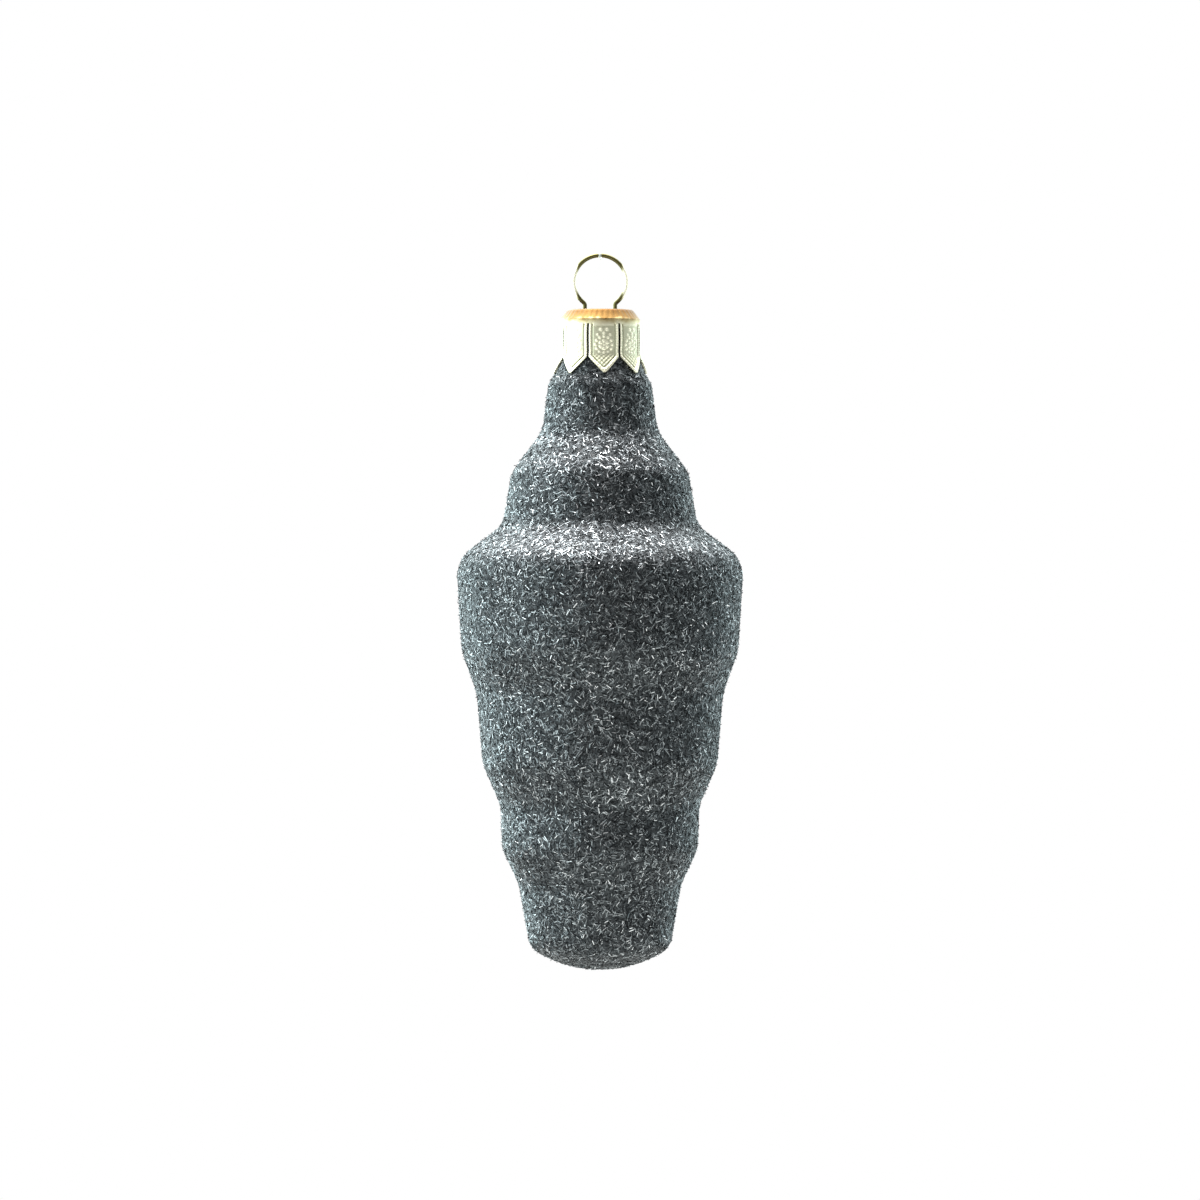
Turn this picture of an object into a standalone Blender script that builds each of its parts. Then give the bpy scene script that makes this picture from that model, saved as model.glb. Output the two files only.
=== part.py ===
"""Blown glass hanging ornament, built as it comes apart on a bench.

A tiered glass body carries a skin of fibre glitter. A stamped crown cap sits over its neck, a
sprung wire hanger passes through the cap into the neck, and a doubled clear thread holds the
hanger's ring. Metres, +Z up. The origin is the point of the thread's eye that lies on its hook,
so every other piece hangs below it.
"""
import math
from collections import namedtuple

import bmesh
import bpy
from mathutils import Matrix, Vector

MM = 0.001
FIT_GAP = 0.30 * MM              # air kept between pieces that touch

# Thread: one clear nylon line, doubled through the ring and knotted into an eye at the top
THREAD_D = 0.40 * MM
THREAD_DROP = 44.7 * MM          # hook to the middle of the wire at the top of the ring
KNOT_D = 1.5 * MM
KNOT_LENGTH = 1.5 * MM
KNOT_TOP = -6.2 * MM

# Hanger: one length of sprung brass wire
WIRE_D = 0.60 * MM
RING_R = 3.73 * MM               # middle of the wire
RING_RISE = 3.96 * MM            # ring's centre above the cap's top face
LEG_SPACING = 4.26 * MM
LEG_BEND_R = 0.60 * MM
LEG_GUIDE = 2.5 * MM             # straight leg left in the cap when the hanger is pulled up
HANGER_TRAVEL = 6.0 * MM         # pull of the hanger through the cap
LEG_SPLAY = 11.5 * MM
LEG_TIP_CLEARANCE = 0.20 * MM    # leg's tip to the neck's bore

# Cap: stamped sheet with a fluted shoulder and cut petals
CAP_SHEET = 0.20 * MM
CAP_CLEARANCE = 0.40 * MM        # skirt to the coated neck
CAP_SHOULDER_W = 1.05 * MM
CAP_SHOULDER_H = 1.60 * MM
SHOULDER_BENDS = ((0.35, 0.25), (0.85, 0.75))    # shares of its width and height
CAP_TURN = math.radians(5.5)     # front petal's place round the axis
PETALS = 8
FLUTES_PER_PETAL = 5
FLUTE_DEPTH = 0.14 * MM
SLOT_W = 0.30 * MM
SLOT_TOP = 2.1 * MM              # depths below the cap's top face
PETAL_SIDE_END = 6.8 * MM
PETAL_TIP_L = 2.2 * MM
HOLE_CLEARANCE = 0.30 * MM       # leg to the edge of its hole

# Glass and coat
GLASS_WALL = 0.85 * MM
COAT_T = 0.35 * MM
NECK_R = 4.40 * MM               # outside of the bare glass tube
BODY_HEIGHT = 92.7 * MM          # rim of the neck to the foot
SHOULDER_R = 20.3 * MM           # widest tier, over the coat
COAT_END = 2.3 * MM              # bare glass below the rim

# Corners of the coated outline, walked from the foot up. The lower ones are measured up from the
# foot, the upper ones down from the rim, and the tall wall between them takes up the rest.
Corner = namedtuple("Corner", "radius level fillet")
FOOT_DOME = Corner(4.24 * MM, 0.0 * MM, 17.0 * MM)
FOOT_EDGE = Corner(9.88 * MM, 3.0 * MM, 3.0 * MM)
FIRST_STEP_FOOT = Corner(11.45 * MM, 12.1 * MM, 8.0 * MM)
FIRST_STEP_HEAD = Corner(13.80 * MM, 17.0 * MM, 6.0 * MM)
SECOND_STEP_FOOT = Corner(14.00 * MM, 23.2 * MM, 6.0 * MM)
SECOND_STEP_HEAD = Corner(16.52 * MM, 28.9 * MM, 8.0 * MM)
THIRD_STEP_FOOT = Corner(17.39 * MM, 39.2 * MM, 12.0 * MM)
THIRD_STEP_HEAD = Corner(19.50 * MM, 44.9 * MM, 10.0 * MM)
SHOULDER_EDGE = Corner(SHOULDER_R, 34.85 * MM, 5.0 * MM)
SHOULDER_HEAD = Corner(13.75 * MM, 30.0 * MM, 4.0 * MM)
BULGE_HEAD = Corner(12.47 * MM, 22.4 * MM, 5.0 * MM)
COLLAR_FOOT = Corner(8.11 * MM, 16.7 * MM, 6.0 * MM)
COLLAR_HEAD = Corner(7.30 * MM, 10.1 * MM, 2.0 * MM)
NECK_FLARE = Corner(6.40 * MM, 8.5 * MM, 2.0 * MM)
NECK_ROOT_DEPTH = 4.5 * MM
NECK_ROOT_FILLET = 3.0 * MM
FOOT_CORNERS = (FOOT_DOME, FOOT_EDGE, FIRST_STEP_FOOT, FIRST_STEP_HEAD,
                SECOND_STEP_FOOT, SECOND_STEP_HEAD, THIRD_STEP_FOOT, THIRD_STEP_HEAD)
RIM_CORNERS = (SHOULDER_EDGE, SHOULDER_HEAD, BULGE_HEAD, COLLAR_FOOT, COLLAR_HEAD, NECK_FLARE)

# Fineness
TURNED_SEGMENTS = 32
COAT_ARC_STEP = math.radians(15)
HIDDEN_ARC_STEP = math.radians(30)
RING_ARC_STEP = math.radians(11)
BEND_STEPS = 4
ROUTE_SAMPLES = 24               # per span of a route, before it is spaced evenly
TUBE_BEVEL = 2
THREAD_SPACING = 2.8 * THREAD_D  # between the points of a line
EYE_SPACING = 1.6 * THREAD_D
KNOT_SIDES = 12
KNOT_RINGS = 8
HOLE_SIDES = 16
CUTTER_DEPTH = 1.6 * MM
MERGE_DISTANCE = 0.003 * MM
SHARP_ANGLE = math.radians(40)

# Routes of the thread's two stretches, in metres, on one smooth curve each
THREAD_ROUTE = [
    (0, -0.00030, -0.0082), (0, -0.00038, -0.0140), (0, -0.00046, -0.0200), (0, -0.00055, -0.0260),
    (0, -0.00063, -0.0320), (0, -0.00071, -0.0380), (0, -0.00078, -0.0430), (0, -0.00080, -0.0447),
    (0, -0.00057, -0.0453), (0, 0.00000, -0.0455), (0, 0.00057, -0.0453),
    (0, 0.00080, -0.0447), (0, 0.00078, -0.0430), (0, 0.00071, -0.0380), (0, 0.00063, -0.0320),
    (0, 0.00055, -0.0260), (0, 0.00046, -0.0200), (0, 0.00038, -0.0140), (0, 0.00030, -0.0082),
]
EYE_ROUTE = [
    (-0.00035, 0, -0.0059), (-0.00070, 0, -0.0048), (-0.00125, 0, -0.0034), (-0.00160, 0, -0.0020),
    (-0.00150, 0, -0.0008), (-0.00085, 0, -0.00005), (0, 0, 0.0002), (0.00085, 0, -0.00005),
    (0.00150, 0, -0.0008), (0.00160, 0, -0.0020), (0.00125, 0, -0.0034), (0.00070, 0, -0.0048),
    (0.00035, 0, -0.0059),
]

# Places down the axis, and the fits that follow from the sizes above
RING_CENTRE_Z = -THREAD_DROP - RING_R
CAP_TOP_Z = RING_CENTRE_Z - RING_RISE
RIM_Z = CAP_TOP_Z - CAP_SHEET - FIT_GAP
COATED_NECK_R = NECK_R + FIT_GAP + COAT_T
NECK_BORE_R = NECK_R - GLASS_WALL
SKIRT_R = COATED_NECK_R + CAP_CLEARANCE + CAP_SHEET
CAP_TOP_R = SKIRT_R - CAP_SHOULDER_W
LEG_X = LEG_SPACING / 2
LEG_STRAIGHT = HANGER_TRAVEL + LEG_GUIDE
LEG_TIP_X = NECK_BORE_R - WIRE_D / 2 - LEG_TIP_CLEARANCE
HOLE_R = WIRE_D / 2 + HOLE_CLEARANCE


def clear_scene():
    for thing in list(bpy.data.objects):
        bpy.data.objects.remove(thing, do_unlink=True)


def material(name, colour, roughness, metallic=0.0, transmission=0.0):
    """A plain finish; colour is linear RGB."""
    finish = bpy.data.materials.new(name)
    finish.use_nodes = True
    shader = finish.node_tree.nodes["Principled BSDF"]
    shader.inputs["Base Color"].default_value = (*colour, 1.0)
    shader.inputs["Roughness"].default_value = roughness
    shader.inputs["Metallic"].default_value = metallic
    shader.inputs["Transmission Weight"].default_value = transmission
    finish.diffuse_color = (*colour, 1.0)
    return finish


def place(thing, point, parent=None):
    """Put an object at a point of the world, under its parent."""
    origin = Vector((0, 0, 0))
    if parent is not None:
        thing.parent = parent
        origin = parent["place"]
    thing["place"] = point
    thing.location = Vector(point) - Vector(origin)


def mesh_object(name, shape, finish):
    """An object of a finished bmesh, shaded smooth up to its sharp edges."""
    mesh = bpy.data.meshes.new(name)
    shape.to_mesh(mesh)
    shape.free()
    mesh.materials.append(finish)
    mesh.shade_smooth()
    mesh.set_sharp_from_angle(angle=SHARP_ANGLE)
    thing = bpy.data.objects.new(name, mesh)
    bpy.context.collection.objects.link(thing)
    return thing


def tube(name, points, diameter, finish):
    """A round tube with closed ends along the points."""
    curve = bpy.data.curves.new(name, "CURVE")
    curve.dimensions = "3D"
    curve.bevel_depth = diameter / 2
    curve.bevel_resolution = TUBE_BEVEL
    curve.use_fill_caps = True
    spline = curve.splines.new("POLY")
    spline.points.add(len(points) - 1)
    for knot, point in zip(spline.points, points):
        knot.co = (*point, 1.0)
    curve.materials.append(finish)
    thing = bpy.data.objects.new(name, curve)
    bpy.context.collection.objects.link(thing)
    return thing


def smooth_route(route, spacing):
    """Evenly spaced points on a smooth curve through a route's own points."""
    stops = [Vector(point) for point in route]
    padded = [2 * stops[0] - stops[1], *stops, 2 * stops[-1] - stops[-2]]
    dense = []
    for before, start, end, after in zip(padded, padded[1:], padded[2:], padded[3:]):
        for sample in range(ROUTE_SAMPLES):
            t = sample / ROUTE_SAMPLES
            slope_in = (end - before) / 2
            slope_out = (after - start) / 2
            dense.append(start * (2 * t**3 - 3 * t**2 + 1) + slope_in * (t**3 - 2 * t**2 + t)
                         + end * (3 * t**2 - 2 * t**3) + slope_out * (t**3 - t**2))
    dense.append(stops[-1])
    lengths = [0.0]
    for start, end in zip(dense, dense[1:]):
        lengths.append(lengths[-1] + (end - start).length)
    count = round(lengths[-1] / spacing)
    spaced = []
    span = 0
    for index in range(count + 1):
        target = lengths[-1] * index / count
        while span < len(dense) - 2 and lengths[span + 1] < target:
            span += 1
        share = (target - lengths[span]) / (lengths[span + 1] - lengths[span])
        spaced.append(dense[span].lerp(dense[span + 1], share))
    return spaced


def body_corners(top_depth):
    """Corners of the coated outline from the axis at the foot up to a depth below the rim."""
    corners = [Corner(0.0, -BODY_HEIGHT, 0.0)]
    for corner in FOOT_CORNERS:
        corners.append(corner._replace(level=corner.level - BODY_HEIGHT))
    for corner in RIM_CORNERS:
        corners.append(corner._replace(level=-corner.level))
    corners.append(Corner(COATED_NECK_R, -NECK_ROOT_DEPTH, NECK_ROOT_FILLET))
    corners.append(Corner(COATED_NECK_R, -top_depth, 0.0))
    return corners


def fillet_reaches(corners, walls, turns):
    """How far each fillet runs along its walls, shortened where two would meet on one wall."""
    reaches = [0.0]
    for corner, turn in zip(corners[1:-1], turns):
        reaches.append(corner.fillet * math.tan(abs(turn) / 2))
    reaches.append(0.0)
    for index, wall in enumerate(walls):
        wanted = reaches[index] + reaches[index + 1]
        if wanted > wall.length:
            reaches[index] *= wall.length / wanted
            reaches[index + 1] *= wall.length / wanted
    return reaches


def rounded_outline(corners, arc_step):
    """Points and outward normals along the filleted outline, as (point, normal) pairs."""
    stops = [Vector((corner.radius, corner.level)) for corner in corners]
    walls = [end - start for start, end in zip(stops, stops[1:])]
    normals = [Vector((wall.y, -wall.x)).normalized() for wall in walls]
    turns = [after.angle_signed(before) for before, after in zip(walls, walls[1:])]
    reaches = fillet_reaches(corners, walls, turns)
    outline = [(stops[0], Vector((0, -1)))]
    for index, turn in enumerate(turns):
        side = math.copysign(1.0, turn)
        radius = reaches[index + 1] / math.tan(abs(turn) / 2)
        start = stops[index + 1] - walls[index].normalized() * reaches[index + 1]
        centre = start - normals[index] * radius * side
        steps = max(1, math.ceil(abs(turn) / arc_step))
        for step in range(steps):
            normal = normals[index].copy()
            normal.rotate(Matrix.Rotation(turn * (step + 0.5) / steps, 2))
            outline.append((centre + normal * radius * side, normal))
    outline.append((stops[-1], normals[-1]))
    return outline


def inset(outline, distance):
    """The outline moved inwards, staying on the axis at its first point."""
    return [point - normal * distance for point, normal in outline]


def outline_radius(points, level):
    """Radius of a rising outline at a height."""
    for low, high in zip(points, points[1:]):
        if low.y <= level <= high.y:
            share = (level - low.y) / (high.y - low.y)
            return low.x + (high.x - low.x) * share
    return points[-1].x


def turned_shell(name, outer, inner, finish):
    """A shell of revolution between two outlines, open at the neck."""
    shape = bmesh.new()
    profile = [shape.verts.new((point.x, 0, point.y)) for point in [*outer, *reversed(inner)]]
    for start, end in zip(profile, profile[1:]):
        shape.edges.new((start, end))
    bmesh.ops.spin(shape, geom=shape.verts[:] + shape.edges[:], cent=(0, 0, 0), axis=(0, 0, 1),
                   angle=math.tau, steps=TURNED_SEGMENTS, use_merge=True)
    bmesh.ops.remove_doubles(shape, verts=shape.verts[:], dist=MERGE_DISTANCE)
    bmesh.ops.recalc_face_normals(shape, faces=shape.faces[:])
    return mesh_object(name, shape, finish)


def make_coat(finish):
    corners = body_corners(COAT_END)
    outer = inset(rounded_outline(corners, COAT_ARC_STEP), 0.0)
    inner = inset(rounded_outline(corners, HIDDEN_ARC_STEP), COAT_T)
    return turned_shell("glitter_coat", outer, inner, finish)


def make_glass(finish):
    outline = rounded_outline(body_corners(0.0), HIDDEN_ARC_STEP)
    outer = inset(outline, COAT_T + FIT_GAP)
    inner = inset(outline, COAT_T + FIT_GAP + GLASS_WALL)
    return turned_shell("glass_body", outer, inner, finish)


def petal_columns():
    """Angles across one petal from its middle, with the share of the way out to its side."""
    count = 2 * FLUTES_PER_PETAL
    side = math.pi / PETALS - SLOT_W / 2 / SKIRT_R
    return [(side * (2 * index / count - 1), abs(2 * index / count - 1)) for index in range(count + 1)]


def skirt_radius(depth, coat):
    """Outer radius of the cap's skirt, which opens where the coated body swells inside it."""
    body = outline_radius(coat, CAP_TOP_Z - RIM_Z - depth)
    return max(SKIRT_R, body + FIT_GAP + CAP_SHEET)


def cap_column(angle, share, coat):
    """Points down the cap's outside at one angle, from the top face's edge to the petal's end."""
    ridge = FLUTE_DEPTH * (0.5 + 0.5 * math.cos(PETALS * FLUTES_PER_PETAL * angle))
    tip = PETAL_SIDE_END + PETAL_TIP_L * (1 - share)
    middle = (SLOT_TOP + PETAL_SIDE_END) / 2
    rows = [(CAP_TOP_R, 0.0)]
    for across, down in SHOULDER_BENDS:
        rows.append((CAP_TOP_R + CAP_SHOULDER_W * across - ridge, CAP_SHOULDER_H * down))
    rows += [(SKIRT_R, CAP_SHOULDER_H), (SKIRT_R, SLOT_TOP)]
    for depth in (middle, PETAL_SIDE_END - FIT_GAP, tip):
        rows.append((skirt_radius(depth, coat), depth))
    turn = angle + CAP_TURN
    return [(radius * math.sin(turn), -radius * math.cos(turn), -depth) for radius, depth in rows]


def leg_hole(name, x, cap):
    """A hidden cutter for one of the hanger's two holes."""
    shape = bmesh.new()
    bmesh.ops.create_cone(shape, cap_ends=True, segments=HOLE_SIDES, radius1=HOLE_R,
                          radius2=HOLE_R, depth=CUTTER_DEPTH)
    cutter = mesh_object(name, shape, cap.data.materials[0])
    cutter.hide_render = True
    cutter.display_type = "WIRE"
    place(cutter, (x, 0, CAP_TOP_Z), cap)
    cut = cap.modifiers.new(name, "BOOLEAN")
    cut.operation = "DIFFERENCE"
    cut.object = cutter


def make_cap(finish):
    """One folded sheet: a top face, a fluted shoulder, and petals parted by narrow slots."""
    coat = inset(rounded_outline(body_corners(0.0), COAT_ARC_STEP), 0.0)
    shape = bmesh.new()
    columns = []
    for petal in range(PETALS):
        middle = math.tau * petal / PETALS
        for angle, share in petal_columns():
            points = cap_column(middle + angle, share, coat)
            columns.append([shape.verts.new(point) for point in points])
    per_petal = 2 * FLUTES_PER_PETAL + 1
    band_rows = len(SHOULDER_BENDS) + 2
    for index, column in enumerate(columns):
        following = columns[(index + 1) % len(columns)]
        slot_side = index % per_petal == per_petal - 1
        rows = band_rows if slot_side else len(column) - 1
        for row in range(rows):
            shape.faces.new((column[row], column[row + 1], following[row + 1], following[row]))
    shape.faces.new([column[0] for column in columns])
    bmesh.ops.recalc_face_normals(shape, faces=shape.faces[:])
    cap = mesh_object("crown_cap", shape, finish)
    sheet = cap.modifiers.new("sheet", "SOLIDIFY")
    sheet.thickness = CAP_SHEET
    sheet.offset = -1.0
    sheet.use_even_offset = True
    return cap


def arc(centre, radius, start, end, steps):
    """Points on an arc in the hanger's plane, both ends included."""
    points = []
    for step in range(steps + 1):
        angle = start + (end - start) * step / steps
        points.append(Vector((centre.x + radius * math.cos(angle), 0,
                              centre.z + radius * math.sin(angle))))
    return points


def make_hanger(finish):
    """The ring, closed but for its feet, which bend down into two legs. Its origin is the middle
    of the wire at the ring's top, where the thread holds it."""
    ring_centre = Vector((0, 0, -RING_R))
    reach_x = LEG_X + LEG_BEND_R
    reach = RING_R + LEG_BEND_R
    reach_z = -math.sqrt(reach**2 - reach_x**2)
    bend_centre = ring_centre + Vector((reach_x, 0, reach_z))
    foot_angle = math.atan2(reach_z, reach_x)
    cap_top = -RING_R - RING_RISE
    ring_steps = math.ceil((math.pi / 2 - foot_angle) / RING_ARC_STEP)
    half = arc(ring_centre, RING_R, math.pi / 2, foot_angle, ring_steps)
    half += arc(bend_centre, LEG_BEND_R, foot_angle + math.pi, math.pi, BEND_STEPS)[1:]
    half.append(Vector((LEG_X, 0, cap_top - LEG_STRAIGHT)))
    half.append(Vector((LEG_TIP_X, 0, cap_top - LEG_STRAIGHT - LEG_SPLAY)))
    mirrored = [Vector((-point.x, 0, point.z)) for point in reversed(half[1:])]
    return tube("wire_hanger", mirrored + half, WIRE_D, finish)


def make_knot(finish):
    """The plain round outline of the overhand knot."""
    shape = bmesh.new()
    bmesh.ops.create_uvsphere(shape, u_segments=KNOT_SIDES, v_segments=KNOT_RINGS,
                              radius=0.5)
    size = Matrix.Diagonal((KNOT_D, KNOT_D, KNOT_LENGTH, 1))
    bmesh.ops.transform(shape, matrix=size, verts=shape.verts[:])
    bmesh.ops.translate(shape, vec=(0, 0, KNOT_TOP - KNOT_LENGTH / 2), verts=shape.verts[:])
    return mesh_object("thread_knot", shape, finish)


def main():
    clear_scene()
    nylon = material("clear_nylon", (0.90, 0.91, 0.90), 0.15, transmission=0.8)
    brass = material("brass_wire", (0.42, 0.34, 0.13), 0.25, metallic=1.0)
    gilt = material("gilt_sheet", (0.80, 0.62, 0.30), 0.30, metallic=1.0)
    glass = material("blown_glass", (0.62, 0.66, 0.66), 0.08, transmission=0.6)
    glitter = material("fibre_glitter", (0.085, 0.100, 0.105), 0.6, metallic=0.2)

    eye = tube("hanging_eye", smooth_route(EYE_ROUTE, EYE_SPACING), THREAD_D, nylon)
    place(eye, (0, 0, 0))
    knot = make_knot(nylon)
    place(knot, (0, 0, 0), eye)
    thread = tube("hanging_thread", smooth_route(THREAD_ROUTE, THREAD_SPACING), THREAD_D, nylon)
    place(thread, (0, 0, 0), knot)
    hanger = make_hanger(brass)
    place(hanger, (0, 0, -THREAD_DROP), thread)
    cap = make_cap(gilt)
    place(cap, (0, 0, CAP_TOP_Z), hanger)
    leg_hole("leg_hole_left", -LEG_X, cap)
    leg_hole("leg_hole_right", LEG_X, cap)
    body = make_glass(glass)
    place(body, (0, 0, RIM_Z), cap)
    coat = make_coat(glitter)
    place(coat, (0, 0, RIM_Z), body)


main()
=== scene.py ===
"""Finished model of a blown glass hanging ornament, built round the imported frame.

Metres, +Z up, front towards -Y. The frame's origin is the point of the thread's eye that lies on
its hook, so every piece hangs below zero.
"""
import math

import bpy
import numpy as np
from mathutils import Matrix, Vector


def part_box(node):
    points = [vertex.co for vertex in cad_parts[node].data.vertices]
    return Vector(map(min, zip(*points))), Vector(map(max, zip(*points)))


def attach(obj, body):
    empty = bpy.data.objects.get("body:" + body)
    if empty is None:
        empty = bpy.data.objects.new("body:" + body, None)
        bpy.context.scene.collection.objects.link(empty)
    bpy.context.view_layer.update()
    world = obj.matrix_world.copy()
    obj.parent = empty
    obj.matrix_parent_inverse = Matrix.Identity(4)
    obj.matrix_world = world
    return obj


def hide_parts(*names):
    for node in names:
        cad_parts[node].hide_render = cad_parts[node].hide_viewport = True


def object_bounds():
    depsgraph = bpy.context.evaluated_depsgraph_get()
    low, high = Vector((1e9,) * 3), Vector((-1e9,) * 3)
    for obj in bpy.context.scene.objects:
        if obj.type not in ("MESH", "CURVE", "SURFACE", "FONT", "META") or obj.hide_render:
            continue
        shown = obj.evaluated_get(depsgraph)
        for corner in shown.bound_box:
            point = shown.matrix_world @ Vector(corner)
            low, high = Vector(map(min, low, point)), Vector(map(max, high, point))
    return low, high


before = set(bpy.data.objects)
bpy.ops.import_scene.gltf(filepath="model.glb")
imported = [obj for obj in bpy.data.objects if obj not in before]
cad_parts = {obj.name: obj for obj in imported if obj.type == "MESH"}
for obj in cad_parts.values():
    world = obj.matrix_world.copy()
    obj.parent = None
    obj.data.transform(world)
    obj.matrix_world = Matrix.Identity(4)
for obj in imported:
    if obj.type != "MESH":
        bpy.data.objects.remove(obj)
cad_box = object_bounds()

# ---------------------------------------------------------------------------------------------
# Studio: the ornament hangs at eye level in front of plain white, over a pale floor well below
# it. A long lens looks straight at it, so its tiers show almost flat.
# ---------------------------------------------------------------------------------------------
MM = 0.001
EYE_LEVEL = -93.4 * MM
CAMERA_AWAY = 1.0
FRAME_WIDTH = 169.6 * MM         # what the camera takes in at the ornament's axis
SENSOR = 36.0
FLOOR_BELOW = 0.20
FLOOR_R = 0.75
FLOOR_SIDES = 96
FLOOR_GREY = "#9f9f9d"
WHITE = (1, 1, 1, 1)
WALL_WHITE = "#e4fcff"           # white walls, a little cooler than the top light
SKY_TOP = 7.0                    # brightness towards the top light
TOP_LIGHT = (0, 0.30, 0.954)     # above the ornament and a little behind it

# The sky's share of that brightness, from straight away from the top light to straight at it
SKY_LEVELS = [(0.0, "#5c5c5c"), (0.25, "#444444"), (0.40, "#444444"), (0.5, "#464646"),
              (0.65, "#383838"), (0.77, "#5c5c5c"), (0.90, "#989898"), (0.95, "#ececec"),
              (0.98, "#ffffff")]

# The sockets of four smooth Map Range nodes: from 1 to 2 along a direction's X or Y, brightness
# goes from 3 to 4. The lean makes the top and the back brighter on the left.
LEFT_WALL = {1: -0.25, 2: -0.95, 3: 0.0, 4: 1.75}
RIGHT_WALL = {1: 0.45, 2: 0.9, 3: 0.0, 4: 0.28}
BACK_WALL = {1: 0.0, 2: 0.95, 3: 0.0, 4: 2.0}
LEFT_LEAN = {1: -0.45, 2: 0.15, 3: 1.7, 4: 1.0}


def linear(hexadecimal):
    """An sRGB colour such as "#c0a050" as linear RGBA."""
    channels = [int(hexadecimal[index:index + 2], 16) / 255 for index in (1, 3, 5)]
    return [c / 12.92 if c <= 0.04045 else ((c + 0.055) / 1.055) ** 2.4 for c in channels] + [1.0]


def node(tree, kind, inputs=(), **settings):
    """Add a node with its settings; inputs maps a socket's name or number to a value or a link."""
    made = tree.nodes.new(kind)
    for key, value in settings.items():
        setattr(made, key, value)
    for key, value in dict(inputs).items():
        if isinstance(value, bpy.types.NodeSocket):
            tree.links.new(value, made.inputs[key])
        else:
            made.inputs[key].default_value = value
    return made


def material(name):
    """A new material's node tree and its shader."""
    made = bpy.data.materials.new(name)
    made.use_nodes = True
    return made, made.node_tree, made.node_tree.nodes["Principled BSDF"]


def ramp(tree, share, stops):
    """A colour ramp over a 0 to 1 share, with stops of (place, hex colour)."""
    made = node(tree, "ShaderNodeValToRGB", {0: share})
    elements = made.color_ramp.elements
    while len(elements) < len(stops):
        elements.new(0.5)
    for element, (place, hexadecimal) in zip(elements, stops):
        element.position = place
        element.color = linear(hexadecimal)
    return made.outputs["Color"]


def start_piece():
    """Nothing selected, so that the next primitive is shaped alone."""
    if bpy.context.mode != "OBJECT":
        bpy.ops.object.mode_set(mode="OBJECT")
    bpy.ops.object.select_all(action="DESELECT")
    bpy.context.tool_settings.mesh_select_mode = (True, False, False)


def end_piece(name, *materials):
    """Leave edit mode, name the piece and bring its place into its mesh."""
    if bpy.context.mode != "OBJECT":
        bpy.ops.object.mode_set(mode="OBJECT")
    piece = bpy.context.object
    piece.name = name
    piece.data.name = name
    bpy.ops.object.transform_apply(location=True, rotation=True, scale=True)
    piece.data.materials.clear()
    for made in materials:
        piece.data.materials.append(made)
    return piece


camera_data = bpy.data.cameras.new("studio_camera")
camera = bpy.data.objects.new("studio_camera", camera_data)
bpy.context.collection.objects.link(camera)
bpy.context.scene.camera = camera
camera_data.sensor_width = SENSOR
camera_data.lens = SENSOR * CAMERA_AWAY / FRAME_WIDTH
camera.location = (0, -CAMERA_AWAY, EYE_LEVEL)
camera.rotation_euler = (math.radians(90), 0, 0)

floor_paint, _, floor_shader = material("matt_white_floor")
floor_shader.inputs["Base Color"].default_value = linear(FLOOR_GREY)
floor_shader.inputs["Roughness"].default_value = 0.9
start_piece()
bpy.ops.mesh.primitive_circle_add(vertices=FLOOR_SIDES, radius=FLOOR_R, fill_type="NGON",
                                  location=(0, 0, cad_box[0].z - FLOOR_BELOW))
end_piece("studio_floor", floor_paint)

world = bpy.data.worlds.new("studio")
bpy.context.scene.world = world
world.use_nodes = True
sky = world.node_tree
sky.nodes.clear()
toward = node(sky, "ShaderNodeTexCoord").outputs["Generated"]
parts = node(sky, "ShaderNodeSeparateXYZ", {0: toward})
lifted = node(sky, "ShaderNodeVectorMath", {0: toward, 1: TOP_LIGHT}, operation="DOT_PRODUCT")
rise = node(sky, "ShaderNodeMapRange", {0: lifted.outputs["Value"], 1: -1.0, 2: 1.0})
level = ramp(sky, rise.outputs[0], SKY_LEVELS)
left = node(sky, "ShaderNodeMapRange", {0: parts.outputs["X"], **LEFT_WALL},
            interpolation_type="SMOOTHSTEP")
right = node(sky, "ShaderNodeMapRange", {0: parts.outputs["X"], **RIGHT_WALL},
             interpolation_type="SMOOTHSTEP")
back = node(sky, "ShaderNodeMapRange", {0: parts.outputs["Y"], **BACK_WALL},
            interpolation_type="SMOOTHSTEP")
lean = node(sky, "ShaderNodeMapRange", {0: parts.outputs["X"], **LEFT_LEAN},
            interpolation_type="SMOOTHSTEP")
leant = node(sky, "ShaderNodeMath", {0: lean.outputs[0], 1: SKY_TOP}, operation="MULTIPLY")
above = node(sky, "ShaderNodeMath", {0: level, 1: leant.outputs[0]}, operation="MULTIPLY")
sides = node(sky, "ShaderNodeMath", {0: left.outputs[0], 1: right.outputs[0]}, operation="ADD")
beside = node(sky, "ShaderNodeMath", {0: back.outputs[0], 1: lean.outputs[0], 2: sides.outputs[0]},
              operation="MULTIPLY_ADD")
top = node(sky, "ShaderNodeBackground", {"Color": WHITE, "Strength": above.outputs[0]})
walls = node(sky, "ShaderNodeBackground", {"Color": linear(WALL_WHITE),
                                           "Strength": beside.outputs[0]})
around = node(sky, "ShaderNodeAddShader", {0: top.outputs[0], 1: walls.outputs[0]})
plain = node(sky, "ShaderNodeBackground", {"Color": WHITE, "Strength": 1.0})
seen = node(sky, "ShaderNodeLightPath").outputs["Is Camera Ray"]
mixed = node(sky, "ShaderNodeMixShader", {0: seen, 1: around.outputs[0], 2: plain.outputs[0]})
node(sky, "ShaderNodeOutputWorld", {0: mixed.outputs[0]})
bpy.context.scene.view_settings.view_transform = "Standard"


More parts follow.
